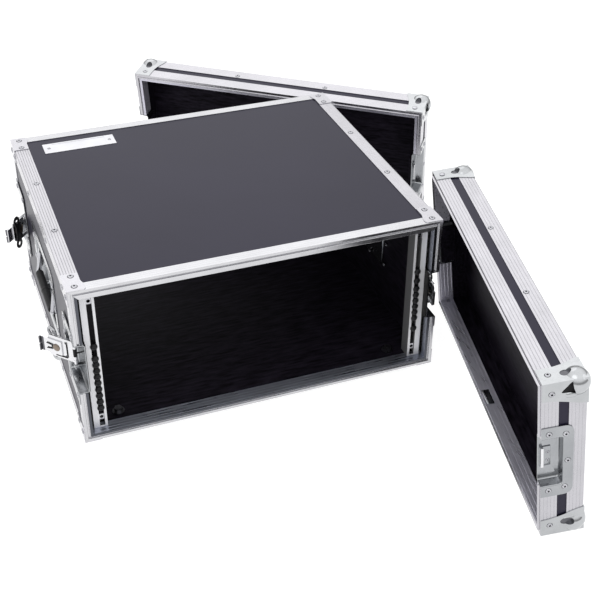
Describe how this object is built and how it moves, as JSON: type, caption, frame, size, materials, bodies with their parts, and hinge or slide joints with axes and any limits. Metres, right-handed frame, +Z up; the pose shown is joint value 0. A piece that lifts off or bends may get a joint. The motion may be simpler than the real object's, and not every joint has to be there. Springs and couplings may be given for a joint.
{
  "type": "equipment rack case",
  "caption": "Flight case with removable front and rear lids, rack rails with captive nuts inside, recessed turn latches, folding side handles, ball corners and rubber feet.",
  "frame": {"origin": "middle of the pattern of four empty rail nuts on the front rails, in the plane of their front faces; five rack units high, so z = 0 is half way up the rack space", "axes": "+X to the right seen from the open front, +Y to the rear, +Z up; lids shown standing on the floor beside the case, where they rest with the joints at 0"},
  "size_m": [0.7471, 1.1094, 0.2634],
  "materials": {
    "laminated_ply": "dark laminate over birch plywood",
    "extrusion": "mill aluminium with fine flutes",
    "zinc_steel": "zinc plated pressed steel",
    "rail_steel": "zinc plated rail steel",
    "black_wood": "black stained wood",
    "black_rubber": "matt black rubber",
    "black_nylon": "matt black nylon",
    "brass": "yellow passivated, satin",
    "dark_steel": "black coated steel",
    "hardware_steel": "zinc plated, satin"
  },
  "bodies": {
    "case": {"top_board": "laminated_ply", "bottom_board": "laminated_ply", "left_board": "laminated_ply", "right_board": "laminated_ply", "edge_angles": "extrusion", "front_rim": "extrusion", "rear_rim": "extrusion", "corner_braces": "zinc_steel", "case_rivets": "hardware_steel", "name_plate": "zinc_steel", "left_rail": "rail_steel", "right_rail": "rail_steel", "rail_battens": "black_wood", "rail_bolts": "hardware_steel", "rail_nuts": "hardware_steel", "rack_screws": "hardware_steel", "screw_washers": "black_nylon", "feet": "black_rubber", "foot_bolts": "hardware_steel", "latch_dishes": "zinc_steel", "latch_pins": "hardware_steel", "latch_springs": "dark_steel", "handle_dishes": "zinc_steel", "handle_lugs": "hardware_steel", "handle_bolts": "hardware_steel"},
    "left_handle": {"left_bail": "hardware_steel", "left_grip": "black_rubber"},
    "right_handle": {"right_bail": "hardware_steel", "right_grip": "black_rubber"},
    "latch_a_arm": {"latch_a_arm": "hardware_steel"},
    "latch_a_hook": {"latch_a_hook": "hardware_steel"},
    "latch_a_hub": {"latch_a_hub": "brass"},
    "latch_a_wing": {"latch_a_wing": "dark_steel"},
    "latch_b_arm": {"latch_b_arm": "hardware_steel"},
    "latch_b_hook": {"latch_b_hook": "hardware_steel"},
    "latch_b_hub": {"latch_b_hub": "brass"},
    "latch_b_wing": {"latch_b_wing": "dark_steel"},
    "latch_c_arm": {"latch_c_arm": "hardware_steel"},
    "latch_c_hook": {"latch_c_hook": "hardware_steel"},
    "latch_c_hub": {"latch_c_hub": "brass"},
    "latch_c_wing": {"latch_c_wing": "dark_steel"},
    "latch_d_arm": {"latch_d_arm": "hardware_steel"},
    "latch_d_hook": {"latch_d_hook": "hardware_steel"},
    "latch_d_hub": {"latch_d_hub": "brass"},
    "latch_d_wing": {"latch_d_wing": "dark_steel"},
    "front_lid_pins": {"front_lid_pins": "hardware_steel"},
    "front_lid": {"front_lid_board": "laminated_ply", "front_lid_walls": "laminated_ply", "front_lid_rim": "extrusion", "front_lid_edges": "extrusion", "front_lid_balls": "zinc_steel", "front_lid_catches": "zinc_steel"},
    "rear_lid_pins": {"rear_lid_pins": "hardware_steel"},
    "rear_lid": {"rear_lid_board": "laminated_ply", "rear_lid_walls": "laminated_ply", "rear_lid_rim": "extrusion", "rear_lid_edges": "extrusion", "rear_lid_balls": "zinc_steel", "rear_lid_catches": "zinc_steel"}
  },
  "joints": [
    {"name": "front_lid_carry", "type": "hinge", "parent": "case", "child": "front_lid_pins", "pos_m": [0.42775, -0.03592, 0.00779], "axis": [0.0363, -0.1146, -0.9928], "range_deg": [0, 299.7]},
    {"name": "front_lid_turn", "type": "hinge", "parent": "front_lid_pins", "child": "front_lid", "pos_m": [0.34627, 0.12669, -0.01395], "axis": [-0.1177, 0.0259, 0.9927], "range_deg": [0, 222.46]},
    {"name": "rear_lid_carry", "type": "hinge", "parent": "case", "child": "rear_lid_pins", "pos_m": [0.38574, 0.52928, 0.00337], "axis": [0.0351, -0.1037, 0.994], "range_deg": [0, 293.06]},
    {"name": "rear_lid_turn", "type": "hinge", "parent": "rear_lid_pins", "child": "rear_lid", "pos_m": [0.40407, 0.36934, -0.01395], "axis": [0.0742, 0.095, -0.9927], "range_deg": [0, 255.39]},
    {"name": "latch_a_swing", "type": "hinge", "parent": "case", "child": "latch_a_arm", "pos_m": [-0.2538, 0.027, 0], "axis": [0, 0, 1], "range_deg": [-3, 138]},
    {"name": "latch_a_turn", "type": "hinge", "parent": "latch_a_arm", "child": "latch_a_hub", "pos_m": [-0.27287, 0.04818, 0], "axis": [-0.7431, -0.6691, 0], "range_deg": [-5, 175]},
    {"name": "latch_a_draw", "type": "slide", "parent": "latch_a_arm", "child": "latch_a_hook", "axis": [0.6691, -0.7431, 0], "range_m": [-0.00014, 0.00486]},
    {"name": "latch_a_fold", "type": "hinge", "parent": "latch_a_hub", "child": "latch_a_wing", "pos_m": [-0.2696, 0.05112, 0], "axis": [-0.0583, 0.0648, 0.9962], "range_deg": [-51, 4]},
    {"name": "latch_b_swing", "type": "hinge", "parent": "case", "child": "latch_b_arm", "pos_m": [-0.2538, 0.396, 0], "axis": [0, 0, -1], "range_deg": [-3, 138]},
    {"name": "latch_b_turn", "type": "hinge", "parent": "latch_b_arm", "child": "latch_b_hub", "pos_m": [-0.27287, 0.37482, 0], "axis": [0.7431, -0.6691, 0], "range_deg": [0, 180]},
    {"name": "latch_b_draw", "type": "slide", "parent": "latch_b_arm", "child": "latch_b_hook", "axis": [0.6691, 0.7431, 0], "range_m": [0, 0.005]},
    {"name": "latch_b_fold", "type": "hinge", "parent": "latch_b_hub", "child": "latch_b_wing", "pos_m": [-0.2696, 0.37188, 0], "axis": [0, 0, -1], "range_deg": [-51, 4]},
    {"name": "latch_c_swing", "type": "hinge", "parent": "case", "child": "latch_c_arm", "pos_m": [0.2538, 0.027, 0], "axis": [0, 0, -1], "range_deg": [-141, 0]},
    {"name": "latch_c_turn", "type": "hinge", "parent": "latch_c_arm", "child": "latch_c_hub", "pos_m": [0.2538, -0.0015, 0], "axis": [1, 0, 0], "range_deg": [-180, 0]},
    {"name": "latch_c_draw", "type": "slide", "parent": "latch_c_arm", "child": "latch_c_hook", "axis": [0, 1, 0], "range_m": [-0.005, 0]},
    {"name": "latch_c_fold", "type": "hinge", "parent": "latch_c_hub", "child": "latch_c_wing", "pos_m": [0.2582, -0.0015, 0], "axis": [0, 0, 1], "range_deg": [-55, 0]},
    {"name": "latch_d_swing", "type": "hinge", "parent": "case", "child": "latch_d_arm", "pos_m": [0.2538, 0.396, 0], "axis": [0, 0, 1], "range_deg": [-141, 0]},
    {"name": "latch_d_turn", "type": "hinge", "parent": "latch_d_arm", "child": "latch_d_hub", "pos_m": [0.2538, 0.4245, 0], "axis": [-1, 0, 0], "range_deg": [-180, 0]},
    {"name": "latch_d_draw", "type": "slide", "parent": "latch_d_arm", "child": "latch_d_hook", "axis": [0, -1, 0], "range_m": [-0.005, 0]},
    {"name": "latch_d_fold", "type": "hinge", "parent": "latch_d_hub", "child": "latch_d_wing", "pos_m": [0.2582, 0.4245, 0], "axis": [0, 0, -1], "range_deg": [-55, 0]},
    {"name": "left_handle_fold", "type": "hinge", "parent": "case", "child": "left_handle", "pos_m": [-0.254, 0.2115, 0.026], "axis": [0, -1, 0], "range_deg": [-90, 0]},
    {"name": "right_handle_fold", "type": "hinge", "parent": "case", "child": "right_handle", "pos_m": [0.254, 0.2115, 0.026], "axis": [0, 1, 0], "range_deg": [-90, 0]}
  ],
  "couplings": [
    {"joint": "front_lid_turn", "follows": "front_lid_carry", "ratio": 0.74228},
    {"joint": "rear_lid_turn", "follows": "rear_lid_carry", "ratio": 0.87145},
    {"joint": "latch_a_draw", "follows": "latch_a_turn", "m_per_rad": 0.0015915},
    {"joint": "latch_b_draw", "follows": "latch_b_turn", "m_per_rad": 0.0015915},
    {"joint": "latch_c_draw", "follows": "latch_c_turn", "m_per_rad": 0.0015915},
    {"joint": "latch_d_draw", "follows": "latch_d_turn", "m_per_rad": 0.0015915}
  ]
}
